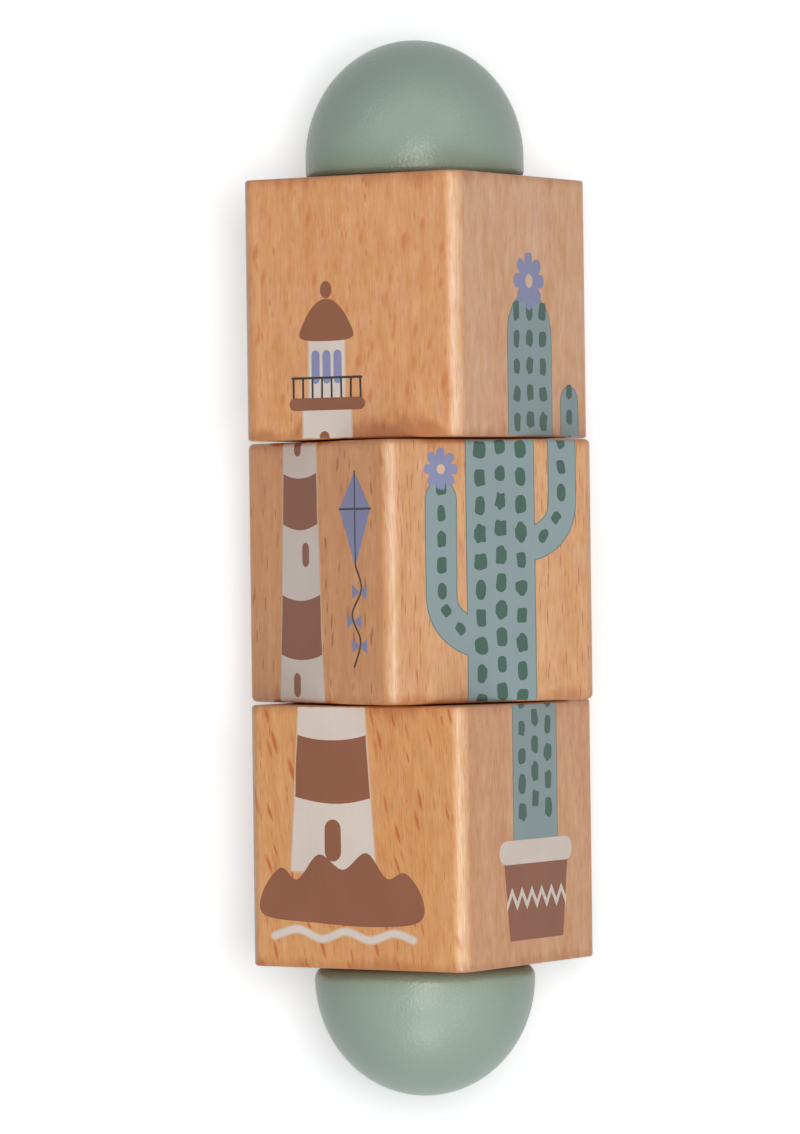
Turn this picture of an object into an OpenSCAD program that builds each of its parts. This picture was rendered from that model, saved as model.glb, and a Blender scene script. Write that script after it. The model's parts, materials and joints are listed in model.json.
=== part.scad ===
// A wooden spinning puzzle for small children. Three square beech blocks turn freely on one
// hidden dowel, and a painted half ball is glued on each end of the dowel to hold them on.
// The dowel lies along X. The toy lies on its long edges: the two outer blocks lean one way
// and the middle block the other, so that it stands on the floor (Z = 0) like a low trestle.

/* [Blocks] */
// Side of each square block
block_side = 45; // [38:0.5:56]
// Length of each block, along the dowel
block_len = 46.1; // [38:0.1:58]
// Rounding of a block's four long edges
long_edge_r = 2.3; // [1.4:0.1:6]
// Easing of the rims round the end faces of the upper and lower blocks
outer_rim_r = 0.5; // [0.3:0.1:1.3]
// Easing of the rims round the middle block's end faces, which the other blocks rub against
middle_rim_r = 1; // [0.3:0.1:1.3]

/* [Half balls] */
// Radius of the turned ball that each cap is cut from
cap_r = 19.45; // [17:0.05:22]
// Height of the ball's centre above the upper cap's flat seat
upper_cap_rise = 5.2; // [3:0.05:7]
// Height of the ball's centre above the lower cap's flat seat
lower_cap_rise = 4.2; // [3:0.05:7]
// Rounding between the upper cap's side and its flat seat
upper_cap_rim_r = 1.2; // [0.5:0.1:4]
// Rounding between the lower cap's side and its flat seat
lower_cap_rim_r = 3.5; // [0.5:0.1:4]

/* [Dowel] */
// Diameter of the dowel
dowel_d = 10; // [8:0.1:14]
// Depth of the blind hole in each cap
cap_hole_depth = 15; // [10:0.5:17]
// Chamfer on each end of the dowel
dowel_chamfer = 0.8; // [0.2:0.1:1.5]

/* [Fits] */
// Radial running clearance between the dowel and a block's bore
run_clear = 0.1; // [0.05:0.01:0.1]
// Radial room for glue between the dowel and a cap's hole
glue_room = 0.05; // [0.02:0.01:0.1]
// End float between neighbouring blocks, and between a block and a cap
end_float = 0.3; // [0.2:0.05:0.8]
// Space left beyond each end of the dowel, at the bottom of the cap's hole
hole_spare = 0.8; // [0.3:0.1:1]
// Chamfer at the mouths of the bores and holes
mouth_chamfer = 0.8; // [0.3:0.1:1.5]

/* [Stance] */
// Lean of each block away from standing straight up on one long edge
lean = 11.2; // [0:0.1:30]

/* [Hidden] */
$fn = 96;

beech = [0.83, 0.62, 0.45];
pale_beech = [0.87, 0.71, 0.54];
sage_paint = [0.57, 0.65, 0.60];

// Cutters run past the faces that they cut by this much
past = 1;

block_pitch = block_len + end_float;
stack_len = 2 * block_pitch + block_len;
upper_cap_h = upper_cap_rise + cap_r;
lower_cap_h = lower_cap_rise + cap_r;

// The middle of the blocks, set so that X = 0 is halfway along the whole toy
mid_x = (lower_cap_h - upper_cap_h) / 2;
upper_seat_x = mid_x + stack_len / 2 + end_float;
lower_seat_x = mid_x - stack_len / 2 - end_float;

// The dowel's height, with each block's lowest long edge just on the floor
edge_reach = (block_side / 2 - long_edge_r) * sqrt(2);
dowel_z = edge_reach * cos(lean) + long_edge_r;

dowel_r = dowel_d / 2;
bore_r = dowel_r + run_clear;
cap_hole_r = dowel_r + glue_room;
dowel_in_cap = cap_hole_depth - hole_spare;
dowel_len = upper_seat_x - lower_seat_x + 2 * dowel_in_cap;

// A rectangle with round corners, centred
module rounded_rect(w, h, r) {
  square([w - 2 * r, h], center = true);
  square([w, h - 2 * r], center = true);
  for (x = [-1, 1], y = [-1, 1])
    translate([x * (w / 2 - r), y * (h / 2 - r)]) circle(r);
}

// One turned corner of a block: a round post whose two rims are eased
module corner_post(rim_r) {
  rotate_extrude() intersection() {
    rounded_rect(2 * long_edge_r, block_len, rim_r);
    translate([0, -block_len]) square([2 * long_edge_r, 2 * block_len]);
  }
}

// The outside of a block, upright and centred: two crossing slabs and four corner posts,
// which together round the long edges and ease the rims all the way round
module block_outside(rim_r) {
  flat = block_side - 2 * long_edge_r;
  for (turn = [0, 90])
    rotate([90, 0, turn]) linear_extrude(flat, center = true)
      rounded_rect(block_side, block_len, rim_r);
  for (x = [-1, 1], y = [-1, 1])
    translate([x * flat / 2, y * flat / 2, 0]) corner_post(rim_r);
}

// A chamfered mouth that opens towards +Z at z = 0
module mouth(r) {
  translate([0, 0, -mouth_chamfer])
    cylinder(h = mouth_chamfer + past, r1 = r, r2 = r + mouth_chamfer + past);
}

// A block, upright and centred, bored through for the dowel
module block_upright(rim_r) {
  difference() {
    block_outside(rim_r);
    cylinder(h = block_len + 2 * past, r = bore_r, center = true);
    for (end = [0, 180])
      rotate([end, 0, 0]) translate([0, 0, block_len / 2]) mouth(bore_r);
  }
}

// A block in its place, slot steps from the middle and turned about the dowel
module placed_block(slot, turn, rim_r) {
  color(beech)
    translate([mid_x + slot * block_pitch, 0, dowel_z])
      rotate([turn, 0, 0]) rotate([0, 90, 0]) block_upright(rim_r);
}

// Half of a cap's outline: a ball cut flat at y = 0, with a round of rim_r between them.
// The round is a slice of a circle, from straight down to where it meets the ball.
module cap_outline(rise, rim_r) {
  round_x = sqrt(pow(cap_r - rim_r, 2) - pow(rise - rim_r, 2));
  reach = rim_r / (cap_r - rim_r);
  meet = [round_x * (1 + reach), rim_r - (rise - rim_r) * reach];
  intersection() {
    translate([0, rise]) circle(cap_r);
    translate([0, meet.y]) square(2 * cap_r);
  }
  polygon([[0, 0], [round_x, 0], [round_x, rim_r], meet, [0, meet.y]]);
  translate([round_x, rim_r]) intersection() {
    circle(rim_r);
    polygon([[0, 0], [0, -2 * rim_r], [2 * rim_r, -2 * rim_r],
      2 * (meet - [round_x, rim_r])]);
  }
}

// A cap, standing on its flat seat, with a blind hole for the dowel
module cap_upright(rise, rim_r) {
  difference() {
    rotate_extrude() cap_outline(rise, rim_r);
    translate([0, 0, -past]) cylinder(h = cap_hole_depth + past, r = cap_hole_r);
    rotate([180, 0, 0]) mouth(cap_hole_r);
  }
}

// The dowel that the blocks turn on, with its ends in the caps
module axle() {
  color(pale_beech)
    translate([lower_seat_x - dowel_in_cap, 0, dowel_z]) rotate([0, 90, 0])
      rotate_extrude() polygon([
        [0, 0], [dowel_r - dowel_chamfer, 0], [dowel_r, dowel_chamfer],
        [dowel_r, dowel_len - dowel_chamfer], [dowel_r - dowel_chamfer, dowel_len],
        [0, dowel_len]]);
}

module upper_cap() {
  color(sage_paint)
    translate([upper_seat_x, 0, dowel_z]) rotate([0, 90, 0])
      cap_upright(upper_cap_rise, upper_cap_rim_r);
}

module lower_cap() {
  color(sage_paint)
    translate([lower_seat_x, 0, dowel_z]) rotate([0, -90, 0])
      cap_upright(lower_cap_rise, lower_cap_rim_r);
}

module upper_block() { placed_block(1, 45 + lean, outer_rim_r); }

module middle_block() { placed_block(0, 45 - lean, middle_rim_r); }

module lower_block() { placed_block(-1, 45 + lean, outer_rim_r); }

axle();
upper_cap();
lower_cap();
upper_block();
middle_block();
lower_block();
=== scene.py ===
import json
import math
import random

import bmesh
import bpy
from mathutils import Matrix, Vector
from mathutils.geometry import delaunay_2d_cdt


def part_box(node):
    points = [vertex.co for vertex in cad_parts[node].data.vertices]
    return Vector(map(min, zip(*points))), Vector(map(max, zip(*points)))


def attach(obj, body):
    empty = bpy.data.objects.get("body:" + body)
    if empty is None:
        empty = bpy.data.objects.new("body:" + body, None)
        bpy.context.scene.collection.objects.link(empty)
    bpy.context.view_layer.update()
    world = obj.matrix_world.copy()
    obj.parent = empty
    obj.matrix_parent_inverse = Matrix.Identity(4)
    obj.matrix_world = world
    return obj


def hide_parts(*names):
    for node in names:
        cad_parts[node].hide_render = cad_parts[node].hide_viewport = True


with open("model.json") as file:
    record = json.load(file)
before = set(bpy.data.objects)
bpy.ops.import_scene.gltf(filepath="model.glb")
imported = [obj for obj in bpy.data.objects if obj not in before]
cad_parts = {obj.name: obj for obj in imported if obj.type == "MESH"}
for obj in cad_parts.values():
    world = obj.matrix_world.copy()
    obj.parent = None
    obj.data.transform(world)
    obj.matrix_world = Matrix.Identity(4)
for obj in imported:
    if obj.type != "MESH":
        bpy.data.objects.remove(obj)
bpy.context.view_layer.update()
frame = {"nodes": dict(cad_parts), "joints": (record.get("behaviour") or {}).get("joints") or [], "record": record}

# A wooden spinning puzzle: three printed beech blocks that turn on a dowel between two painted
# half balls. Lengths are in millimetres, and become metres as each mesh is made.
MM = 0.001

# Sizes that the blocks are made to. The long edges are planed and then sanded, so their section
# is a little flatter than a round: it follows a power of 1.8, where 2 would be a circle.
EDGE_R = 2.4
EDGE_POWER = 1.8
RIM_R = {"upper_block": 0.5, "middle_block": 1.0, "lower_block": 0.5}
BORE_R = 5.1
MOUTH_CHAMFER = 0.8

# Sizes that the caps are turned to. Each has its widest radius, the height of its slightly oval
# dome above the widest circle, and the reach and height of the rounding at its seat.
CAP_SHAPES = {"upper_cap": (19.42, 21.15, 1.1, 1.2), "lower_cap": (19.6, 21.1, 3.2, 2.5)}
CAP_HOLE_R = 5.05
CAP_HOLE_DEPTH = 15.0

# Points that are closer than this become one, which closes seams and poles
SEAM_GAP = 0.004

# The camera, as fitted to the photograph: where it stands, what it looks at, how far it is rolled
CAMERA_PLACE = (4.33, 24.76, 1042.51)
CAMERA_AIM = (0.248, 3.535, 30.323)
CAMERA_ROLL = -0.741
CAMERA_LENS = 180.49

spins = {joint["child"]: joint for joint in frame["joints"]}
rest_faces = {mount["name"]: mount for mount in frame["record"]["mounts"]}
DOWEL_Z = spins["middle_block"]["pos_m"][2] / MM


def add(tree, kind, inputs=None, **settings):
    """Adds a node with its settings. A kind without "Node" in it is a shader node's. An input is a
    constant, a socket that is linked to it, or a node, whose first output in use is linked."""
    node = tree.nodes.new(kind if "Node" in kind else "ShaderNode" + kind)
    for name, value in settings.items():
        setattr(node, name, value)
    for name, value in (inputs or {}).items():
        if isinstance(value, bpy.types.Node):
            value = next(socket for socket in value.outputs if socket.enabled)
        if isinstance(value, bpy.types.NodeSocket):
            tree.links.new(value, node.inputs[name])
        else:
            node.inputs[name].default_value = value
    return node


def linear(hex_colour):
    """An sRGB hex colour as the linear RGBA that a node takes."""
    parts = [int(hex_colour[i:i + 2], 16) / 255 for i in (1, 3, 5)]
    return tuple(c / 12.92 if c <= 0.04045 else ((c + 0.055) / 1.055) ** 2.4 for c in parts) + (1.0,)


def corner_height(reach, past):
    """The height of a long edge's section above its core, at a distance past the core."""
    left = reach ** EDGE_POWER - past ** EDGE_POWER
    return max(0.0, left) ** (1 / EDGE_POWER)


def new_object(name, mesh):
    """A mesh object at the origin of the frame."""
    made = bpy.data.objects.new(name, mesh)
    bpy.context.scene.collection.objects.link(made)
    return made


# Where each block is

class Block:
    """A beech block's place, read from the frame: its middle, its half sizes and its turn."""

    def __init__(self, node):
        low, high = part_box(node)
        face = rest_faces[node + "_face"]
        self.node = node
        self.rim_r = RIM_R[node]
        self.middle = (low.x + high.x) / 2 / MM
        self.half_len = (high.x - low.x) / 2 / MM
        self.half_side = math.hypot(face["pos_m"][1] / MM, face["pos_m"][2] / MM - DOWEL_Z)
        self.core = self.half_side - EDGE_R
        self.turn = math.degrees(math.atan2(face["axis"][2], face["axis"][1])) % 90

    def point(self, side, u, v, lift=0.0):
        """The point on the rounded wood, or lift above it, that lies over (u, v) of a side. u runs
        to the right and v along +X, from the middle of the side."""
        phi = math.radians(self.turn + 90 * side)
        rim = self.rim_r + lift
        past_end = max(0.0, abs(v) - (self.half_len - self.rim_r))
        drop = rim - math.sqrt(max(0.0, rim ** 2 - past_end ** 2))
        past_edge = max(0.0, abs(u) - self.core)
        height = self.core + corner_height(EDGE_R + lift - drop, past_edge)
        y = height * math.cos(phi) - u * math.sin(phi)
        z = height * math.sin(phi) + u * math.cos(phi)
        return Vector((self.middle + v, y, z + DOWEL_Z)) * MM


blocks = {node: Block(node) for node in ("upper_block", "middle_block", "lower_block")}
STACK_FOOT = blocks["lower_block"].middle - blocks["lower_block"].half_len


def new_tree(name, inputs):
    """A Geometry Nodes tree that makes a mesh, and the sockets of its named inputs."""
    tree = bpy.data.node_groups.new(name, "GeometryNodeTree")
    for label, kind in inputs.items():
        tree.interface.new_socket(label, in_out="INPUT", socket_type="NodeSocket" + kind)
    tree.interface.new_socket("Geometry", in_out="OUTPUT", socket_type="NodeSocketGeometry")
    return tree, add(tree, "NodeGroupInput").outputs


def finished_tree(tree, geometry, material):
    """The tree, ended with a plain mesh of one material."""
    whole = add(tree, "GeometryNodeRealizeInstances", {0: geometry})
    coated = add(tree, "GeometryNodeSetMaterial", {0: whole, "Material": material})
    add(tree, "NodeGroupOutput", {0: coated})
    return tree


def ring_tree():
    """Carries a profile round a section, for the blocks and the turned caps. A profile point holds
    its place along the dowel, its inset from the section or its radius, and its roundness: 0
    follows the section, and 1 is a circle."""
    tree, given = new_tree("profile_round_a_section", {
        "Profile": "Geometry", "Section": "Object", "Core": "Float", "Turn": "Vector",
        "Place": "Vector", "Material": "Material"})
    section = add(tree, "GeometryNodeObjectInfo", {"Object": given["Section"]}).outputs["Geometry"]
    around = add(tree, "GeometryNodeAttributeDomainSize", {0: section}).outputs["Point Count"]
    along = add(tree, "GeometryNodeAttributeDomainSize", {0: given["Profile"]}).outputs["Point Count"]
    seam = add(tree, "FunctionNodeIntegerMath", {0: around, 1: 1})
    grid = add(tree, "GeometryNodeMeshGrid", {"Vertices X": seam, "Vertices Y": along})

    index = add(tree, "GeometryNodeInputIndex")
    row = add(tree, "FunctionNodeIntegerMath", {0: index, 1: along}, operation="DIVIDE_FLOOR")
    turn = add(tree, "FunctionNodeIntegerMath", {0: row, 1: around}, operation="MODULO")
    step = add(tree, "FunctionNodeIntegerMath", {0: index, 1: along}, operation="MODULO")
    place = add(tree, "GeometryNodeInputPosition")
    outline = add(tree, "GeometryNodeSampleIndex", {
        0: section, "Value": place, "Index": turn}, data_type="FLOAT_VECTOR")
    profile = add(tree, "GeometryNodeSampleIndex", {
        0: given["Profile"], "Value": place, "Index": step}, data_type="FLOAT_VECTOR")
    parts = add(tree, "SeparateXYZ", {0: profile}).outputs

    # The nearest point of the section's core gives the outward direction of each outline point
    minus = add(tree, "Math", {0: given["Core"], 1: -1.0}, operation="MULTIPLY")
    low = add(tree, "CombineXYZ", {1: minus, 2: minus})
    high = add(tree, "CombineXYZ", {1: given["Core"], 2: given["Core"]})
    core = add(tree, "VectorMath", {0: outline, 1: low}, operation="MAXIMUM")
    core = add(tree, "VectorMath", {0: core, 1: high}, operation="MINIMUM")
    outward = add(tree, "VectorMath", {0: outline, 1: core}, operation="SUBTRACT")
    outward = add(tree, "VectorMath", {0: outward}, operation="NORMALIZE")
    inset = add(tree, "VectorMath", {0: outward, "Scale": parts[1]}, operation="SCALE")
    square = add(tree, "VectorMath", {0: outline, 1: inset}, operation="SUBTRACT")
    spoke = add(tree, "VectorMath", {0: outline}, operation="NORMALIZE")
    circle = add(tree, "VectorMath", {0: spoke, "Scale": parts[1]}, operation="SCALE")
    ring = add(tree, "Mix", {"Factor": parts[2], 4: square, 5: circle}, data_type="VECTOR")
    axial = add(tree, "CombineXYZ", {0: parts[0]})
    vertex = add(tree, "VectorMath", {0: ring, 1: axial})

    shaped = add(tree, "GeometryNodeSetPosition", {"Geometry": grid, "Position": vertex})
    closed = add(tree, "GeometryNodeMergeByDistance", {"Geometry": shaped, "Distance": SEAM_GAP * MM})
    placed = add(tree, "GeometryNodeTransform", {
        "Geometry": closed, "Translation": given["Place"], "Rotation": given["Turn"]})
    return finished_tree(tree, placed, given["Material"])


def dash_tree():
    """Rounded dashes at a pitch along lines, turned against the line, with a little unevenness,
    for the spots, petals and posts of the pictures."""
    tree, given = new_tree("dashes_along_lines", {
        "Lines": "Geometry", "Pitch": "Float", "Length": "Float", "Width": "Float",
        "Corner": "Float", "Turn": "Float", "Unevenness": "Float", "Seed": "Int",
        "Material": "Material"})
    lines = add(tree, "GeometryNodeMeshToCurve", {0: given["Lines"]})
    beads = add(tree, "GeometryNodeResampleCurve", {"Curve": lines, "Length": given["Pitch"]},
                mode="LENGTH")
    sheet = add(tree, "GeometryNodeCurvePrimitiveQuadrilateral", {
        "Width": given["Width"], "Height": given["Length"]})
    rounded = add(tree, "GeometryNodeFilletCurve", {
        "Curve": sheet, "Count": 5, "Radius": given["Corner"], "Limit Radius": True}, mode="POLY")
    dash = add(tree, "GeometryNodeFillCurve", {0: rounded}, mode="NGONS")

    tangent = add(tree, "GeometryNodeInputTangent")
    facing = add(tree, "FunctionNodeAlignRotationToVector", {"Vector": tangent},
                 axis="Y", pivot_axis="Z")
    less = add(tree, "Math", {0: given["Unevenness"], 1: -1.0}, operation="MULTIPLY")
    lower = add(tree, "Math", {0: 1.0, 1: less})
    upper = add(tree, "Math", {0: 1.0, 1: given["Unevenness"]})
    low = add(tree, "CombineXYZ", {0: lower, 1: lower, 2: 1.0})
    high = add(tree, "CombineXYZ", {0: upper, 1: upper, 2: 1.0})
    size = add(tree, "FunctionNodeRandomValue", {0: low, 1: high, "Seed": given["Seed"]},
               data_type="FLOAT_VECTOR")
    sway = add(tree, "FunctionNodeRandomValue", {
        2: less, 3: given["Unevenness"], "Seed": given["Seed"]}, data_type="FLOAT")
    angle = add(tree, "Math", {0: sway, 1: given["Turn"]})
    swing = add(tree, "FunctionNodeAxisAngleToRotation", {"Axis": (0, 0, 1), "Angle": angle})
    turned = add(tree, "FunctionNodeRotateRotation", {0: facing, 1: swing}, rotation_space="LOCAL")

    laid = add(tree, "GeometryNodeInstanceOnPoints", {
        "Points": beads, "Instance": dash, "Rotation": turned, "Scale": size})
    return finished_tree(tree, laid, given["Material"])


def made_by(tree, name, start, inputs):
    """Runs a tree on a mesh with its named inputs, and keeps the result as a plain mesh."""
    source = new_object(name + "_start", start)
    modifier = source.modifiers.new(name, "NODES")
    modifier.node_group = tree
    sockets = {item.name: item.identifier for item in tree.interface.items_tree
               if item.in_out == "INPUT"}
    for key, value in inputs.items():
        modifier[sockets[key]] = value
    bpy.context.view_layer.update()
    graph = bpy.context.evaluated_depsgraph_get()
    mesh = bpy.data.meshes.new_from_object(source.evaluated_get(graph), depsgraph=graph)
    source.modifiers.remove(modifier)
    bpy.data.objects.remove(source)
    mesh.name = name
    return mesh


def line_mesh(name, *lines, closed=False):
    """A mesh of edges along one or more lines of points."""
    points, edges = [], []
    for line in lines:
        first = len(points)
        points += [tuple(p) + (0,) * (3 - len(p)) for p in line]
        edges += [(first + i, first + i + 1) for i in range(len(line) - 1)]
        if closed:
            edges.append((len(points) - 1, first))
    mesh = bpy.data.meshes.new(name)
    mesh.from_pydata(points, edges, [])
    return mesh


def arc(centre, radius, start, end, steps):
    """Points on an arc, from the start angle to the end angle in degrees."""
    angles = [math.radians(start + (end - start) * i / steps) for i in range(steps + 1)]
    return [(centre[0] + radius * math.cos(a), centre[1] + radius * math.sin(a)) for a in angles]


RINGS = ring_tree()
DASHES = dash_tree()
# Faces that meet at more degrees than this keep a sharp edge
SHARP_ANGLE = 35


def ringed_piece(name, section, profile, core, turn, place, material):
    """A closed piece from the ring tree, with flat sides shaded flat and rounds shaded round."""
    helper = new_object(name + "_section", line_mesh(name, [(0, y * MM, z * MM) for y, z in section]))
    start = line_mesh(name, [(x * MM, inset * MM, roundness) for x, inset, roundness in profile])
    mesh = made_by(RINGS, name, start, {
        "Section": helper, "Core": core * MM, "Turn": (math.radians(turn), 0.0, 0.0),
        "Place": (place * MM, 0.0, DOWEL_Z * MM), "Material": material})
    bpy.data.objects.remove(helper)
    shell = bmesh.new()
    shell.from_mesh(mesh)
    bmesh.ops.recalc_face_normals(shell, faces=shell.faces)
    shell.to_mesh(mesh)
    shell.free()
    mesh.shade_smooth()
    mesh.set_sharp_from_angle(angle=math.radians(SHARP_ANGLE))
    piece = new_object(name, mesh)
    weighted = piece.modifiers.new("flat_sides", "WEIGHTED_NORMAL")
    weighted.weight = 100
    weighted.keep_sharp = True
    return piece


def wooden_block(block, material):
    """A block with its long edges rounded, its rims eased, and a chamfered bore for the dowel."""
    edge_steps, flat_steps, rim_steps = 12, 16, 6
    section = []
    for corner in range(4):
        spin = Matrix.Rotation(math.radians(90 * corner), 2)
        for u, v in arc((0, 0), 1, 0, 90, edge_steps):
            u, v = (EDGE_R * max(0.0, w) ** (2 / EDGE_POWER) for w in (u, v))
            section.append(tuple(spin @ Vector((block.core + u, block.core + v))))
        y, z = section[-1]
        heading = math.radians(90 * corner + 180)
        for i in range(1, flat_steps):
            gone = 2 * block.core * i / flat_steps
            section.append((y + gone * math.cos(heading), z + gone * math.sin(heading)))
    rim = arc((block.half_len - block.rim_r, block.rim_r), block.rim_r, -90, 0, rim_steps)
    half = [(x, inset, 0) for x, inset in rim] + [
        (block.half_len, BORE_R + MOUTH_CHAMFER, 1), (block.half_len - MOUTH_CHAMFER, BORE_R, 1)]
    mirrored = [(-x, inset, roundness) for x, inset, roundness in reversed(half)]
    return ringed_piece(block.node + "_beech", section, mirrored + half + mirrored[:1],
                        block.core, block.turn, block.middle, material)


def painted_cap(node, material):
    """A turned cap: an oval dome, rounded where it seats on the block, with its blind hole."""
    round_steps, dome_steps, rim_steps = 120, 48, 10
    low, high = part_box(node)
    outward = 1 if node == "upper_cap" else -1
    seat = (low.x if outward > 0 else high.x) / MM
    widest, dome, rim_reach, rim_height = CAP_SHAPES[node]
    rise = (high.x - low.x) / MM - dome
    outline = [(rise + dome * x, widest * y) for x, y in arc((0, 0), 1, 0, 90, dome_steps)]
    outline += [(rim_height * (1 + x), widest - rim_reach * (1 - y))
                for x, y in arc((0, 0), 1, 90, 180, rim_steps)]
    outline += [(0, CAP_HOLE_R + MOUTH_CHAMFER), (MOUTH_CHAMFER, CAP_HOLE_R),
                (CAP_HOLE_DEPTH, CAP_HOLE_R), (CAP_HOLE_DEPTH, 0)]
    profile = [(outward * x, radius, 1) for x, radius in outline]
    section = arc((0, 0), 1, 0, 360, round_steps)[:-1]
    return ringed_piece(node + "_painted", section, profile, 0, 0, seat, material)


# Outlines for the pictures, in millimetres on the side of the stack: u to the right, v upwards

def smooth(points, steps=6, closed=True):
    """A smooth curve through the points."""
    count = len(points)
    curve = []
    for i in range(count if closed else count - 1):
        if closed:
            a, b, c, d = (Vector(points[(i + k) % count]) for k in (-1, 0, 1, 2))
        else:
            a, b, c, d = (Vector(points[min(max(i + k, 0), count - 1)]) for k in (-1, 0, 1, 2))
        for k in range(steps):
            t = k / steps
            curve.append(0.5 * ((2 * b) + (c - a) * t + (2 * a - 5 * b + 4 * c - d) * t ** 2
                                + (3 * b - a - 3 * c + d) * t ** 3))
    if not closed:
        curve.append(Vector(points[-1]))
    return [tuple(p) for p in curve]


def disc(u, v, ru, rv=None, steps=28):
    """An ellipse."""
    rv = ru if rv is None else rv
    return [(u + ru * math.cos(math.tau * i / steps), v + rv * math.sin(math.tau * i / steps))
            for i in range(steps)]


def stroke(points, width, steps=6, end_width=None):
    """The outline of a brush stroke along a smooth open curve, with round ends."""
    line = [Vector(p) for p in smooth(points, steps, closed=False)]
    end_width = width if end_width is None else end_width
    left, right = [], []
    for i, p in enumerate(line):
        way = (line[min(i + 1, len(line) - 1)] - line[max(i - 1, 0)]).normalized()
        half = (width + (end_width - width) * i / (len(line) - 1)) / 2
        left.append(p + Vector((-way.y, way.x)) * half)
        right.append(p - Vector((-way.y, way.x)) * half)
    first = math.degrees(math.atan2(*reversed(right[0] - line[0])))
    last = math.degrees(math.atan2(*reversed(left[-1] - line[-1])))
    start_cap = arc(line[0], width / 2, first, first - 180, 8)[1:-1]
    end_cap = arc(line[-1], end_width / 2, last, last - 180, 8)[1:-1]
    return [tuple(p) for p in left] + end_cap + [tuple(p) for p in reversed(right)] + start_cap


def between(edge, v0, v1, near=-1.0, far=1.0, sag=0.0, middle=0.0, steps=10):
    """The part of a shape with half width edge(v) from v0 to v1, between two shares of its width,
    with the lower and upper end sagging in the middle."""
    def row(v, shares):
        return [(middle + edge(v) * s, v - sag * (1 - s * s)) for s in shares]
    shares = [near + (far - near) * i / steps for i in range(steps + 1)]
    heights = [v0 + (v1 - v0) * i / steps for i in range(1, steps)]
    return (row(v0, shares) + [row(v, (far,))[0] for v in heights]
            + row(v1, reversed(shares)) + [row(v, (near,))[0] for v in reversed(heights)])


def area(outline):
    """The signed area of an outline, positive when it runs anticlockwise."""
    return sum(a[0] * b[1] - b[0] * a[1] for a, b in zip(outline, outline[1:] + outline[:1])) / 2


def grown(outline, by):
    """An outline moved outwards by a small distance."""
    if area(outline) < 0:
        outline = outline[::-1]
    moved = []
    for i, p in enumerate(outline):
        way = (Vector(outline[(i + 1) % len(outline)]) - Vector(outline[i - 1])).normalized()
        moved.append((p[0] + way.y * by, p[1] - way.x * by))
    return moved


def hand_drawn(outline, seed, amount=0.12):
    """An outline with the slow waver of a hand-drawn edge."""
    draw = random.Random(seed)
    waves = [(draw.randint(2, 5), draw.uniform(0, math.tau), draw.uniform(0.4, 1)) for _ in range(3)]
    middle = sum((Vector(p) for p in outline), Vector((0, 0))) / len(outline)
    moved = []
    for i, p in enumerate(outline):
        share = sum(w * math.sin(n * math.tau * i / len(outline) + s) for n, s, w in waves) / 2
        away = (Vector(p) - middle).normalized() * amount * share
        moved.append((p[0] + away.x, p[1] + away.y))
    return moved


def dashes(name, lines, pitch, length, width, corner=9.0, turn=0.0, unevenness=0.1, closed=False,
           waver=0.12):
    """Outlines of rounded dashes along lines, from the dash tree."""
    seed = sum(map(ord, name))
    start = line_mesh(name, *[[(u * MM, v * MM) for u, v in line] for line in lines], closed=closed)
    mesh = made_by(DASHES, name, start, {
        "Pitch": pitch * MM, "Length": length * MM, "Width": width * MM, "Corner": corner * MM,
        "Turn": math.radians(turn), "Unevenness": unevenness, "Seed": seed})
    outlines = [[tuple(mesh.vertices[i].co.xy / MM) for i in face.vertices] for face in mesh.polygons]
    bpy.data.meshes.remove(mesh)
    return [hand_drawn(outline, seed + i, waver) for i, outline in enumerate(outlines)]


# The pictures. Each is a list of layers from the wood up: ink, outlines, and outlines cut out

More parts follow.
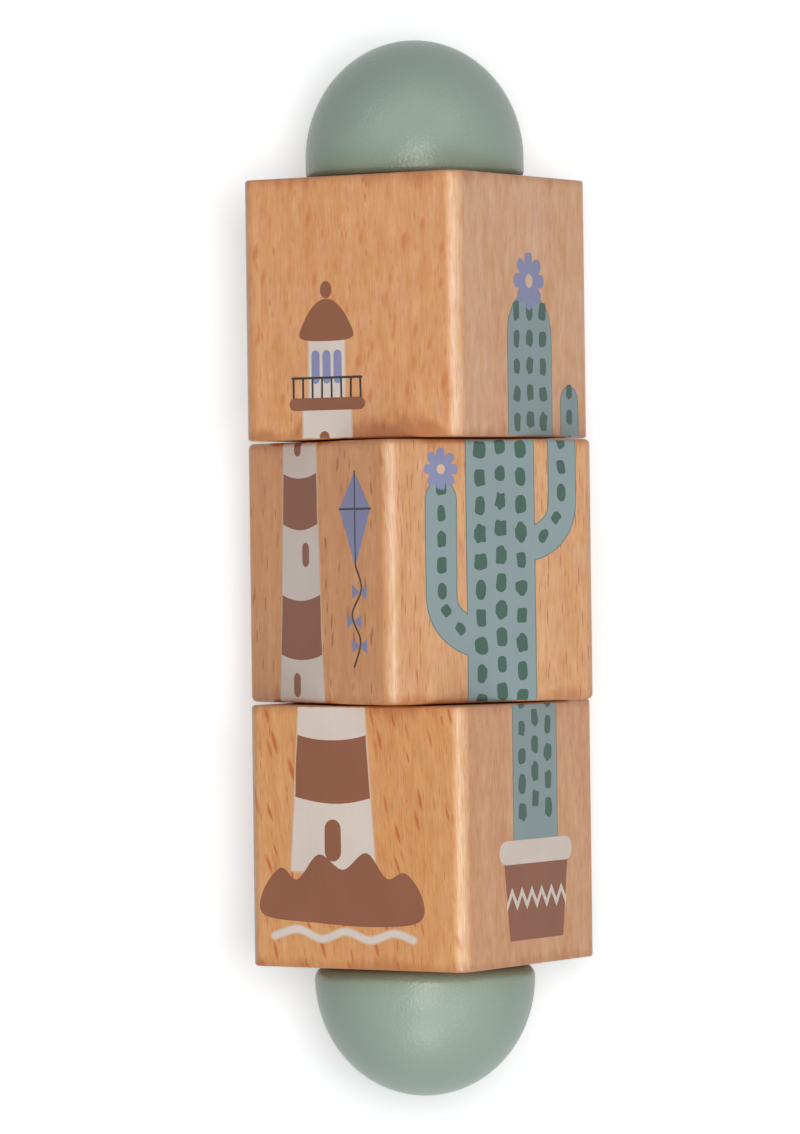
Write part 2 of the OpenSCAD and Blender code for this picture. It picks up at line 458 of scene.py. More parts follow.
def lighthouse():
    """A banded lighthouse on rocks, with a kite beside it."""
    middle, foot, top = -4.5, 17.0, 98.0

    def half(v):
        return 5.0 + 3.8 * ((top - v) / (top - foot)) ** 1.6

    def bands(v0, v1, seed):
        return hand_drawn(between(half, v0, v1, sag=1.0, middle=middle), seed, 0.1)

    tower = between(half, foot, top, middle=middle, steps=24)
    lantern = between(lambda v: 3.7, 100.0, 111.0, middle=middle)
    rocks = hand_drawn(smooth([
        (-19, 9), (-19.5, 13), (-15.5, 17.5), (-12, 15.5), (-7.5, 20), (-2.5, 17.5), (2.5, 20.5),
        (6.5, 16), (10.5, 17), (14, 12.5), (13, 8.5), (4, 7.5), (-8, 8)]), 3, 0.2)
    foam = [stroke([(-17, 5.5), (-12, 6.8), (-7, 5.2), (-2, 6.6), (3, 5.2), (8, 6.5), (12, 5.4)], 1.1)]
    pale = [tower, lantern] + foam
    door = stroke([(middle, 20.5), (middle, 24.5)], 3.4)
    windows = [stroke([(middle + du, v), (middle + du, v + 2.2)], 2.1)
               for du, v in ((-1.5, 48.5), (1.6, 71.5), (-0.6, 91))]
    roof = smooth([(-5.4, 110.6), (-4.6, 113.6), (-2.4, 116.4), (0, 117.4), (2.4, 116.4),
                   (4.6, 113.6), (5.4, 110.6), (0, 110.0)])
    roof = [(u + middle, v) for u, v in roof]
    gallery = stroke([(middle - 6.8, 99), (middle + 6.8, 99)], 2.2)
    finial = disc(middle, 119.0, 1.2, 1.5)
    panes = [stroke([(middle + du, 103.4), (middle + du, 107.6)], 1.7) for du in (-2.3, 0, 2.3)]
    rail = [stroke([(middle - 7.2, 103.6), (middle + 7.2, 103.6)], 0.4)]
    rail += dashes("railing", [[(middle - 7.0, 101.8), (middle + 7.0, 101.8)]], 2.0, 3.6, 0.38,
                   turn=90, unevenness=0.02, waver=0)

    tip, left, right, tail = (12.5, 87), (7.8, 80.5), (17.2, 80.5), (12.5, 70.5)
    kite = [tip, left, tail, right]
    string = [(12.5, 70.5), (14.2, 66.5), (11.3, 62), (13.8, 57.5), (11.8, 53)]
    lines = [stroke([tip, tail], 0.35), stroke([left, right], 0.35), stroke(string, 0.35)]
    bows = []
    for u, v in ((13.6, 66), (11.9, 60.9), (13.5, 56.6)):
        bows.append([(u, v), (u - 2.2, v + 1.3), (u - 2.2, v - 1.1)])
        bows.append([(u, v), (u + 2.2, v + 1.2), (u + 2.2, v - 1.3)])
    brown = [rocks, door, roof, gallery, finial] + windows
    brown += [bands(30, 41, 5), bands(55, 65.5, 6), bands(78, 87, 7)]
    return [
        ("pale_tan_ink", [grown(o, 0.28) for o in pale]), ("off_white_ink", pale), ("brown_ink", brown),
        ("lavender_ink", [kite] + panes + bows), ("black_ink", lines + rail)]


def cactus():
    """A flowering cactus in a pot."""
    middle = 1.5
    column = stroke([(middle, 18), (middle, 111)], 14.6)
    left_arm = stroke([(middle - 2, 57.5), (-6.5, 58.5), (-10.8, 62.5), (-11.3, 70), (-11.2, 82)], 6.4)
    right_arm = stroke([(middle + 2, 74), (10, 74.6), (14.4, 78.5), (15, 86), (14.8, 99)], 5.8)
    sage = [hand_drawn(column, 21, 0.3), hand_drawn(left_arm, 22, 0.2), hand_drawn(right_arm, 23, 0.2)]
    spots = dashes("column", [[(middle + du, 27 + lift), (middle + du, 115)]
                              for du, lift in ((-4.4, 0), (0, 2.2), (4.4, 0.5))],
                   4.7, 3.0, 2.3, corner=0.9, unevenness=0.14, waver=0.2)
    spots += dashes("arm_spots", [[(-11.2, 66), (-11.2, 84)], [(14.8, 83), (14.8, 101)]],
                    4.3, 2.7, 1.9, corner=0.8, waver=0.16)
    spots += dashes("elbow_spots", [[(-7.4, 59.4), (-10.4, 62.6)], [(10.8, 75.4), (13.6, 78.6)]],
                    4.4, 2.3, 1.8, corner=0.7)
    pot = [(-7.4, 4.5), (10.4, 4.5), (12.2, 18.6), (-9.2, 18.6)]
    rim = stroke([(-8.6, 20), (11.6, 20)], 4.2)
    zigzag = [(-8.4 + 1.66 * i, 12.6 + (1.3 if i % 2 else -1.3)) for i in range(13)]
    zigzag = zigzag + [(u, v - 1.5) for u, v in reversed(zigzag)]
    petals, hearts = [], []
    # A ring takes one petal more than the pitches that fit round it
    for name, u, v, reach in (("top_flower", middle, 120.3, 2.9), ("arm_flower", -11.2, 87.2, 2.1)):
        ring = disc(u, v, reach)
        petals += dashes(name, [ring], math.tau * reach / 7.02, reach * 1.5, reach * 0.86,
                         turn=90, unevenness=0.05, closed=True)
        hearts.append(disc(u, v, reach * 0.42))
    return [
        ("grey_green_ink", [grown(o, 0.2) for o in sage]), ("sage_ink", sage),
        ("dark_green_ink", spots), ("brown_ink", [pot]), ("off_white_ink", [rim, zigzag]),
        ("lavender_ink", petals), ("pale_tan_ink", hearts)]


def balloon():
    """A striped hot-air balloon over hills."""
    top, wide, neck = 127.0, 108.0, 83.0

    def half(v):
        if v > wide:
            return 17.0 * math.sqrt(max(0.0, 1 - ((v - wide) / (top - wide)) ** 2))
        return 3.6 + 13.4 * math.sin(math.radians(90 * (v - neck) / (wide - neck)))

    shares = [-1, -0.8, -0.32, 0.32, 0.8, 1]
    gores = [between(half, neck, top, a, b, sag=0.8, steps=28) for a, b in zip(shares, shares[1:])]
    skirt = between(lambda v: 3.4, 80.4, 83.4, sag=0.6)
    basket = [(-4.3, 68), (-3.6, 60.5), (3.6, 60.5), (4.3, 68)]
    weave = dashes("weave", [[(-3.2, v), (3.3, v)] for v in (62.2, 64.4, 66.4)], 1.6, 1.0, 0.4, turn=90)
    ropes = [stroke([(a, 80.6), (b, 67.8)], 0.4) for a, b in ((-3.2, -4.1), (0, 0), (3.2, 4.1))]
    clouds = [disc(u, v, r, r * 0.8) for u, v, r in (
        (-13, 54, 3.4), (-9.4, 55.2, 3.2), (-16.5, 53.2, 2.4), (12, 74, 2.6), (15, 75, 3.1),
        (17.8, 73.6, 2.2), (9, 38, 3), (12.6, 39.4, 3.6), (16.2, 38, 2.6))]
    hills = hand_drawn(smooth([
        (-20.5, 5), (-20.5, 15), (-15, 20.5), (-9, 19), (-3.5, 14.5), (3, 16.5), (9.5, 23), (15.5, 22),
        (20.5, 14.5), (20.5, 5), (8, 4), (-8, 4)]), 31, 0.2)
    trees = dashes("trees", [[(-17, 12.5), (-8, 12.5)], [(5, 13.5), (17, 13.5)]], 3.6, 5.4, 2.3, turn=90)
    return [
        ("pale_tan_ink", [grown(o, 0.25) for o in clouds]), ("off_white_ink", clouds + gores[1::2]),
        ("grey_green_ink", [grown(hills, 0.2)]), ("sage_ink", [hills]), ("dark_green_ink", trees),
        ("lavender_ink", gores[0::2]), ("brown_ink", [skirt, basket]), ("black_ink", ropes),
        ("off_white_ink", weave)]


def sunflower():
    """A tall sunflower in a pot."""
    middle, high = -1.0, 111.0
    stem = stroke([(middle + 1, 18), (middle - 0.8, 44), (middle + 1.2, 72), (middle, 104)], 2.6)
    leaves = [smooth([(0, 0), (4, 5.5), (10, 7), (15.5, 4), (10.5, 0.2), (5, -1)]),
              smooth([(0, 0), (-4, 5.5), (-10, 7.5), (-15, 5), (-10.5, 0.6), (-5, -1)])]
    leaves = [[(u + middle + du, v + dv) for u, v in leaf]
              for leaf, du, dv in ((leaves[0], 0.6, 52), (leaves[1], 0.4, 66), (leaves[0], 0.8, 79))]
    veins = [stroke([(middle + u, v + dv) for u, dv in vein], 0.5) for v, vein in (
        (52.4, ((1, 0), (8, 2.8), (14, 3.2))), (66.4, ((0, 0), (-7.5, 3.6), (-13.4, 4.4))),
        (79.4, ((1, 0), (8, 2.8), (14, 3.2))))]
    ring = disc(middle, high, 11.2, steps=60)
    petals = dashes("petals", [ring], math.tau * 11.2 / 17.04, 8.6, 3.7, turn=90, unevenness=0.06,
                    closed=True)
    heart = disc(middle, high, 7.4, steps=40)
    seeds = []
    for i, reach in enumerate((1.3, 3.4, 5.6)):
        seeds += dashes(f"seeds{i}", [disc(middle, high, reach)], 1.75, 0.9, 0.7, closed=True, waver=0.05)
    pot = [(middle - 7.5, 4.5), (middle + 9.5, 4.5), (middle + 11, 19), (middle - 9, 19)]
    rim = stroke([(middle - 8.6, 20.4), (middle + 10.6, 20.4)], 3.6)
    spots = dashes("pot_spots", [[(middle - 5.6, 11.5), (middle + 8, 11.5)]], 3.3, 4.2, 1.8, turn=90)
    return [
        ("grey_green_ink", [grown(o, 0.2) for o in [stem] + leaves]), ("sage_ink", [stem] + leaves),
        ("dark_green_ink", veins), ("pale_tan_ink", [grown(o, 0.25) for o in petals]),
        ("off_white_ink", petals), ("brown_ink", [heart, pot]), ("lavender_ink", [rim]),
        ("black_ink", seeds), ("off_white_ink", spots)]


# Ink on the wood. The first layer's top is this high, and each next one is a step higher
INK_BASE = 0.028
INK_STEP = 0.009
INK_SUNK = 0.03
# How far the ink stays from a block's rim and from the far side of its long edges
INK_RIM_GAP = 0.22
INK_EDGE_GAP = 0.75
# Its ends are uneven by this amount, at points this far apart
RAGGED_AMOUNT = 0.07
RAGGED_STEP = 0.9


def ragged_window(half_u, half_v, seed):
    """The part of a side that takes ink: a rectangle with slightly uneven ends."""
    draw = random.Random(seed)
    corners = [(-half_u, -half_v), (half_u, -half_v), (half_u, half_v), (-half_u, half_v)]
    outline = []
    for a, b in zip(corners, corners[1:] + corners[:1]):
        steps = int(math.dist(a, b) / RAGGED_STEP)
        for i in range(steps):
            shift = Vector((draw.uniform(-1, 1), draw.uniform(-1, 1))) * RAGGED_AMOUNT
            outline.append(tuple(Vector(a).lerp(Vector(b), i / steps) + shift))
    return outline


def inked_triangles(block, window, outlines):
    """Triangles that cover the outlines inside the window and follow the block's rounded edges."""
    kept = [o for o in outlines if min(v for _, v in o) < block.half_len
            and max(v for _, v in o) > -block.half_len]
    if not kept:
        return [], []
    points, faces, edges = [], [], []
    for outline in [window] + kept:
        if area(outline) < 0:
            outline = outline[::-1]
        faces.append(list(range(len(points), len(points) + len(outline))))
        points += [Vector(p) for p in outline]
    bends_u = [block.core + EDGE_R * share for share in (0, 0.2, 0.4, 0.6)]
    bends_v = [block.half_len - block.rim_r * share for share in (1, 0.7, 0.4)]
    far_u, far_v = block.half_side + 1, block.half_len + 1
    for sign in (-1, 1):
        ends = [((sign * u, -far_v), (sign * u, far_v)) for u in bends_u]
        ends += [((-far_u, sign * v), (far_u, sign * v)) for v in bends_v]
        for end in ends:
            edges.append((len(points), len(points) + 1))
            points += [Vector(p) for p in end]
    flat, _, found, _, _, origins = delaunay_2d_cdt(points, edges, faces, 0, 1e-5, True)
    triangles = [tuple(face) for face, inside in zip(found, origins)
                 if 0 in inside and any(i > 0 for i in inside)]
    return flat, triangles


def ink_shell(block, side, flat, triangles, lift):
    """A thin closed shell of ink over the triangles: points, faces, and the top's own normals."""
    used = sorted({i for triangle in triangles for i in triangle})
    order = {old: new for new, old in enumerate(used)}
    count = len(used)
    points, normals = [], []
    for height in (lift, -INK_SUNK):
        points += [block.point(side, flat[i].x, flat[i].y, height) for i in used]
    reach = 0.01
    for i in used:
        u, v = flat[i]
        across = block.point(side, u + reach, v, lift) - block.point(side, u - reach, v, lift)
        upward = block.point(side, u, v + reach, lift) - block.point(side, u, v - reach, lift)
        normals.append(across.cross(upward).normalized())
    top = [tuple(order[i] for i in triangle) for triangle in triangles]
    sides = {(a, b) for t in top for a, b in zip(t, t[1:] + t[:1])}
    rim = [(a, b) for a, b in sides if (b, a) not in sides]
    faces = top + [tuple(i + count for i in reversed(t)) for t in top]
    faces += [(b, a, a + count, b + count) for a, b in sorted(rim)]
    return points, faces, normals, len(top)


def printed(block, side, name, layers, inks):
    """One block's share of the picture on one side of the stack."""
    shift = block.middle - STACK_FOOT
    window = ragged_window(block.half_side - INK_EDGE_GAP, block.half_len - INK_RIM_GAP,
                           sum(map(ord, name + block.node)))
    points, faces, slots, tops = [], [], [], []
    used_inks = []
    for level, (ink, outlines) in enumerate(layers):
        local = [[(u, v - shift) for u, v in outline] for outline in outlines]
        flat, triangles = inked_triangles(block, window, local)
        if not triangles:
            continue
        if ink not in used_inks:
            used_inks.append(ink)
        shell = ink_shell(block, side, flat, triangles, INK_BASE + INK_STEP * level)
        tops.append((len(points), len(faces), shell[3], shell[2]))
        faces += [tuple(i + len(points) for i in face) for face in shell[1]]
        points += shell[0]
        slots += [used_inks.index(ink)] * len(shell[1])
    mesh = bpy.data.meshes.new(f"{block.node}_{name}_print")
    mesh.from_pydata(points, [], faces)
    for ink in used_inks:
        mesh.materials.append(inks[ink])
    mesh.polygons.foreach_set("material_index", slots)
    loop_normals = [face.normal.copy() for face in mesh.polygons for _ in face.loop_indices]
    for first_point, first_face, count, normals in tops:
        for face in mesh.polygons[first_face:first_face + count]:
            for loop in face.loop_indices:
                loop_normals[loop] = normals[mesh.loops[loop].vertex_index - first_point]
    mesh.shade_smooth()
    mesh.normals_split_custom_set([tuple(n) for n in loop_normals])
    return new_object(mesh.name, mesh)


# Materials

def new_material(name):
    """An empty material and its tree."""
    material = bpy.data.materials.new(name)
    material.use_nodes = True
    material.node_tree.nodes.clear()
    return material, material.node_tree


def surfaced(material, inputs):
    """The material, with a Principled surface that has these inputs."""
    shader = add(material.node_tree, "BsdfPrincipled", inputs)
    add(material.node_tree, "OutputMaterial", {"Surface": shader})
    return material


# How each block was cut from its board. growth is the angle of the board's outward growth from
# +Y about the dowel, pith how far away the middle of the tree was, and start how far along the
# board the block begins. Each set of rays gives the room and half size of a ray along the grain,
# outwards and across, how many cells hold one, how strong, how solid and how slanted it is. The
# first set shows on the sides photographed on the left and behind them, where the cut runs along
# the rays, and the second everywhere. left and right tint those sides and the others: partly the
# tone in which a board's faces differ, and partly painted sheen and shade, paler and bluer on the
# right sides and more amber on the left. The number after the fleck colour is how much further the
# darkening by the rims reaches on the left of the lower end.
CUTS = {
    "upper_block": {
        "growth": -22, "pith": 190, "tilt": 0.6, "start": 111, "mottle": 0.9, "fibre": 0.6,
        "dark": "#d28548", "light": "#f0bf9a", "fleck": "#c67038", "rim_patch_reach": 1.8,
        "left": (0.94, 0.885, 0.72), "right": (0.915, 0.98, 1.03),
        "rays": (((5.0, 3.4, 3.4), (2.2, 0.8, 1.4), 0.72, 0.72, 0.1, 0.18),
                 ((2.4, 5.0, 0.7), (1.2, 2.2, 0.08), 0.7, 0.6, 0.3, 0.0))},
    "middle_block": {
        "growth": 117, "pith": 120, "tilt": -0.4, "start": 407, "mottle": 0.6, "fibre": 0.8,
        "dark": "#cb814c", "light": "#eeba92", "fleck": "#ab5a2c", "rim_patch_reach": 0,
        "left": (0.975, 0.865, 0.63), "right": (0.9, 0.96, 0.9),
        "rays": (((5.5, 4.2, 4.2), (1.5, 1.3, 0.42), 0.4, 0.75, 0.1, 0.1),
                 ((3.4, 6.0, 0.8), (1.7, 2.6, 0.09), 0.8, 0.9, 0.5, 0.0))},
    "lower_block": {
        "growth": -3, "pith": 210, "tilt": 2.5, "start": 851, "mottle": 0.7, "fibre": 0.85,
        "dark": "#cf8444", "light": "#eebc92", "fleck": "#bb5c22", "rim_patch_reach": 0,
        "left": (0.915, 0.86, 0.675), "right": (0.885, 0.88, 0.9),
        "rays": (((5.2, 7.0, 1.9), (2.4, 4.4, 0.25), 0.85, 0.85, 0.4, 0.12),
                 ((2.4, 5.0, 0.7), (1.2, 2.0, 0.08), 0.7, 0.62, 0.3, 0.0))},
}
# The painted highlight's paler, bluer tint on the long edges, and how much of the rays is left there where they
# are worn
EDGE_HIGHLIGHT_TINT = (0.94, 1.185, 1.32)
WORN_RAYS = 0.2


def board_grain(tree, objects, block, cut):
    """Where each point lies in the tree that the block came from: its place along the board, a
    slow noise, and its place in the grain in mm along it, outwards and round the tree."""
    growth, tilt = math.radians(cut["growth"]), math.radians(cut["tilt"])
    outward = Vector((0, math.cos(growth), math.sin(growth)))
    pith = Vector((block.middle, 0, DOWEL_Z)) - outward * cut["pith"]
    board = add(tree, "Mapping", {
        "Vector": objects, "Location": tuple(pith * MM), "Rotation": (growth, tilt / 2, tilt),
        "Scale": (MM, MM, MM)}, vector_type="TEXTURE")
    parts = add(tree, "SeparateXYZ", {0: board}).outputs
    across = add(tree, "VectorMath", {0: board, 1: (0, 1, 1)}, operation="MULTIPLY")
    radius = add(tree, "VectorMath", {0: across}, operation="LENGTH")
    angle = add(tree, "Math", {0: parts[2], 1: parts[1]}, operation="ARCTAN2")
    girth = add(tree, "Math", {0: angle, 1: cut["pith"]}, operation="MULTIPLY")
    grain = add(tree, "CombineXYZ", {0: parts[0], 1: radius, 2: girth})
    grain = add(tree, "VectorMath", {0: grain, 1: (cut["start"], 0, 0)})

    # The grain wanders by about half a millimetre over 20 mm
    slow = add(tree, "VectorMath", {0: grain, 1: (24, 9, 9)}, operation="DIVIDE")
    slow = add(tree, "TexNoise", {"Vector": slow, "Scale": 1.0, "Detail": 1.0}).outputs
    wander = add(tree, "VectorMath", {0: slow["Color"], 1: (0.5, 0.5, 0.5)},
                 operation="SUBTRACT")
    wander = add(tree, "VectorMath", {0: wander, 1: (0, 1.6, 1.6)}, operation="MULTIPLY")
    wood = add(tree, "VectorMath", {0: grain, 1: wander})
    return parts[0], slow[0], wood


def ray_flecks(tree, along, wood, number, rays):
    """How strongly one set of the wood's rays shows: thin plates, at most one in each cell."""
    cell, size, share, strength, solid, slant = rays
    shift = 7.3 * number
    lean = add(tree, "VectorMath", {0: along, 1: (0, slant, slant), 2: wood},
               operation="MULTIPLY_ADD")
    cells = add(tree, "VectorMath", {0: lean, 1: cell}, operation="DIVIDE")
    cells = add(tree, "VectorMath", {0: cells, 1: (shift, shift, shift)})
    plate = add(tree, "TexVoronoi", {"Vector": cells, "Scale": 1.0}).outputs
    away = add(tree, "VectorMath", {0: cells, 1: plate["Position"]}, operation="SUBTRACT")
    away = add(tree, "VectorMath", {0: away, 1: tuple(c / s for c, s in zip(cell, size))},
               operation="MULTIPLY")
    away = add(tree, "VectorMath", {0: away}, operation="LENGTH")
    chance = add(tree, "SeparateXYZ", {0: plate["Color"]}).outputs
    spread = add(tree, "MapRange", {"Value": chance[0], 3: 0.6, 4: 1.3})
    away = add(tree, "Math", {0: away, 1: spread}, operation="DIVIDE")
    shown = add(tree, "MapRange", {"Value": away, 1: solid, 2: 1.0, 3: 1.0, 4: 0.0},
                interpolation_type="SMOOTHSTEP")
    there = add(tree, "MapRange", {
        "Value": chance[1], 1: 1 - share, 2: 1.2 - share, 3: 0.0, 4: strength})
    return add(tree, "Math", {0: shown, 1: there}, operation="MULTIPLY")


def darkened_rims(tree, block, along_block, left_side, mottle, slow):
    """Darker brown towards each end of the block, reaching unevenly a millimetre or two past the rims,
    and further in patches on the left of the lower end."""
    undarkened = add(tree, "Math", {0: mottle, 1: 4.0, 2: block.half_len - 5.2},
                operation="MULTIPLY_ADD")
    undarkened = add(tree, "Math", {0: slow, 1: 4.8, 2: undarkened}, operation="MULTIPLY_ADD")
    undarkened = add(tree, "Math", {0: undarkened, 1: block.half_len - 0.6}, operation="MINIMUM")
    lower = add(tree, "Math", {0: along_block, 1: 0.0}, operation="LESS_THAN")
    away = add(tree, "Math", {0: along_block}, operation="ABSOLUTE")
    past = add(tree, "Math", {0: away, 1: undarkened}, operation="SUBTRACT")
    further = CUTS[block.node]["rim_patch_reach"]
    patch = add(tree, "MapRange", {"Value": slow, 1: 0.38, 2: 0.54, 3: further, 4: 0.0})
    patch = add(tree, "Math", {0: patch, 1: lower}, operation="MULTIPLY")
    past = add(tree, "Math", {0: left_side, 1: patch, 2: past}, operation="MULTIPLY_ADD")
    return add(tree, "MapRange", {"Value": past, 1: -1.0, 2: 1.2, 4: 0.62})


def beech(block):
    """Oiled beech, sanded: warm tan with fine grain along the dowel. The rays of the wood are thin
    plates, so they show as dashes on one side and as broad flecks on the next."""
    cut = CUTS[block.node]
    material, tree = new_material(f"oiled_beech_{block.node}")
    objects = add(tree, "TexCoord").outputs["Object"]
    along, slow, wood = board_grain(tree, objects, block, cut)

    # Noise on the grain, in shares of a size along it, outwards and across: broad bands of growth,
    # soft mottling, fibres 0.25 mm wide and pores 0.16 mm wide, both coarser than real, to show
    noises = {}
    for name, size, detail in (("band", (90, 2.2, 9), 2.0), ("mottle", (5, 2, 2), 3.0),
                               ("fibre", (5, 0.25, 0.25), 2.0), ("pore", (3, 0.16, 0.16), 0.0)):
        way = add(tree, "VectorMath", {0: wood, 1: size}, operation="DIVIDE")
        noises[name] = add(tree, "TexNoise", {
            "Vector": way, "Scale": 1.0, "Detail": detail, "Roughness": 0.55})
    pore = add(tree, "MapRange", {"Value": noises["pore"], 1: 0.6, 2: 0.75})

    # The block's own frame tells its sides apart, and how near its rims and long edges are
    own = add(tree, "Mapping", {
        "Vector": objects, "Location": (block.middle * MM, 0, DOWEL_Z * MM),
        "Rotation": (math.radians(block.turn), 0, 0), "Scale": (MM, MM, MM)}, vector_type="TEXTURE")
    away = add(tree, "VectorMath", {0: own}, operation="ABSOLUTE")
    away = add(tree, "SeparateXYZ", {0: away}).outputs
    along_block = add(tree, "SeparateXYZ", {0: own}).outputs["X"]
    left_side = add(tree, "Math", {0: away[1], 1: away[2]}, operation="SUBTRACT")
    left_side = add(tree, "MapRange", {"Value": left_side, 1: -0.6, 2: 0.6})
    rim = darkened_rims(tree, block, along_block, left_side, noises["mottle"], slow)

    # The long edges take a painted highlight, and lose some rays where worn, less so in the darker fibres
    edge_wear_and_highlight = add(tree, "Math", {0: away[1], 1: away[2]}, operation="MINIMUM")
    edge_wear_and_highlight = add(tree, "MapRange", {"Value": edge_wear_and_highlight, 1: block.core + 0.2, 2: block.core + 1.5})
    bare = add(tree, "MapRange", {"Value": noises["fibre"], 1: 0.3, 2: 0.55, 3: 0.3})
    edge_wear_and_highlight = add(tree, "Math", {0: edge_wear_and_highlight, 1: bare}, operation="MULTIPLY")
    unworn = add(tree, "Math", {0: edge_wear_and_highlight, 1: WORN_RAYS - 1, 2: 1.0}, operation="MULTIPLY_ADD")
    left_rays = add(tree, "Math", {0: left_side, 1: unworn}, operation="MULTIPLY")
    flecks = []
    for number, (rays, where) in enumerate(zip(cut["rays"], (left_rays, unworn))):
        fleck = ray_flecks(tree, along, wood, number, rays)
        flecks.append(add(tree, "Math", {0: fleck, 1: where}, operation="MULTIPLY"))

    # Every noise moves the colour to either side of halfway from dark to light
    weights = {"band": 0.6, "mottle": cut["mottle"], "fibre": cut["fibre"]}
    mixed = 0.5 - sum(weights.values()) / 2
    for name, weight in weights.items():
        mixed = add(tree, "Math", {0: noises[name], 1: weight, 2: mixed},
                    operation="MULTIPLY_ADD")
    colour = add(tree, "Mix", {
        "Factor": mixed, 6: linear(cut["dark"]), 7: linear(cut["light"])}, data_type="RGBA")
    # Patches turn a little pinker or more amber. The sides take tints that are partly their own tone and partly
    # painted sheen and shade, and the long edges a painted highlight
    tone = add(tree, "VectorMath", {
        0: noises["mottle"].outputs["Color"], 1: (0.06, 0.16, 0.42), 2: (0.97, 0.92, 0.79)},
        operation="MULTIPLY_ADD")
    # The side tints hold painted sheen and shade as well as the faces' own tone
    tint = add(tree, "Mix", {
        "Factor": left_side, 4: cut["right"], 5: cut["left"]}, data_type="VECTOR")
    # Painted highlight: the long edges turn paler and bluer
    tint = add(tree, "Mix", {"Factor": edge_wear_and_highlight, 4: tint, 5: EDGE_HIGHLIGHT_TINT}, data_type="VECTOR")
    tone = add(tree, "VectorMath", {0: tone, 1: tint}, operation="MULTIPLY")
    colour = add(tree, "Mix", {"Factor": 1.0, 6: colour, 7: tone},
                 data_type="RGBA", blend_type="MULTIPLY")
    faint = add(tree, "Math", {0: pore, 1: 0.25}, operation="MULTIPLY")
    for factor, shade in ((faint, "#a06a45"), (flecks[1], cut["fleck"]), (flecks[0], cut["fleck"]),
                          (rim, "#a8602f")):
        colour = add(tree, "Mix", {"Factor": factor, 6: colour, 7: linear(shade)},
                     data_type="RGBA")
    gloss = add(tree, "MapRange", {"Value": noises["fibre"], 1: 0.3, 2: 0.7, 3: 0.48, 4: 0.4})
    relief = add(tree, "Math", {0: pore, 1: -0.6, 2: noises["fibre"]}, operation="MULTIPLY_ADD")
    bump = add(tree, "Bump", {"Strength": 0.3, "Distance": 0.03 * MM, "Height": relief})
    return surfaced(material, {
        "Base Color": colour, "Roughness": gloss, "Specular IOR Level": 0.7, "Normal": bump})


def satin_paint():
    """Satin sage paint, sprayed on turned beech: even colour, a broad soft light broken up by
    orange peel, and a painted shade that deepens in the last millimetres before the wood: an olive
    tint for the wood's reflected colour and a dark one for the block's shade."""
    material, tree = new_material("satin_sage_paint")
    objects = add(tree, "TexCoord").outputs["Object"]
    cloud = add(tree, "TexNoise", {"Vector": objects, "Scale": 1 / (14 * MM), "Detail": 2.0})
    peel = add(tree, "TexNoise", {"Vector": objects, "Scale": 1 / (0.5 * MM), "Detail": 1.0})
    colour = add(tree, "Mix", {
        "Factor": cloud, 6: linear("#8d9f93"), 7: linear("#95a79b")}, data_type="RGBA")
    centre = blocks["middle_block"].middle
    reach = 3 * blocks["middle_block"].half_len
    along = add(tree, "SeparateXYZ", {0: objects}).outputs["X"]
    along = add(tree, "Math", {0: along, 1: centre * MM}, operation="SUBTRACT")
    along = add(tree, "Math", {0: along}, operation="ABSOLUTE")
    # Painted shade and reflection by the seat: olive for the wood's reflected colour, dark for the block's shade
    for near, far, tint in ((1.0, 6.0, "#848c60"), (0.4, 3.2, "#5d6350")):
        shade = add(tree, "MapRange", {
            "Value": along, 1: (reach + near) * MM, 2: (reach + far) * MM, 3: 0.42, 4: 0.0},
            interpolation_type="SMOOTHSTEP")
        colour = add(tree, "Mix", {"Factor": shade, 6: colour, 7: linear(tint)},
                     data_type="RGBA")
    gloss = add(tree, "MapRange", {"Value": peel, 1: 0.35, 2: 0.65, 3: 0.32, 4: 0.38})
    bump = add(tree, "Bump", {"Strength": 1.0, "Distance": 0.08 * MM, "Height": peel})
    return surfaced(material, {"Base Color": colour, "Roughness": gloss, "Normal": bump})


def fibres(tree, objects, length, detail):
    """Noise drawn out along the dowel, as fibres of a length in mm and 0.4 mm wide."""
    grain = add(tree, "Mapping", {
        "Vector": objects, "Scale": (1 / (length * MM), 1 / (0.4 * MM), 1 / (0.4 * MM))})
    return add(tree, "TexNoise", {"Vector": grain, "Scale": 1.0, "Detail": detail})


def dowel_beech():
    """Bare turned beech for the hidden dowel: pale, with grain along its length."""
    material, tree = new_material("bare_dowel_beech")
    fibre = fibres(tree, add(tree, "TexCoord").outputs["Object"], 12, 3.0)
    colour = add(tree, "Mix", {
        "Factor": fibre, 6: linear("#c99a6c"), 7: linear("#e4bd92")}, data_type="RGBA")
    return surfaced(material, {"Base Color": colour, "Roughness": 0.6})


INK_COLOURS = {
    "off_white_ink": ("#e2d4ca", "#d6c6ba"), "pale_tan_ink": ("#d9bda4", "#cfae92"),
    "brown_ink": ("#8f5a41", "#824e36"), "sage_ink": ("#8c9d9f", "#849597"),
    "grey_green_ink": ("#6d7d77", "#64746e"), "dark_green_ink": ("#3c5c50", "#365449"),
    "lavender_ink": ("#8c8fb4", "#8386aa"), "black_ink": ("#221d1c", "#1a1615"),
}


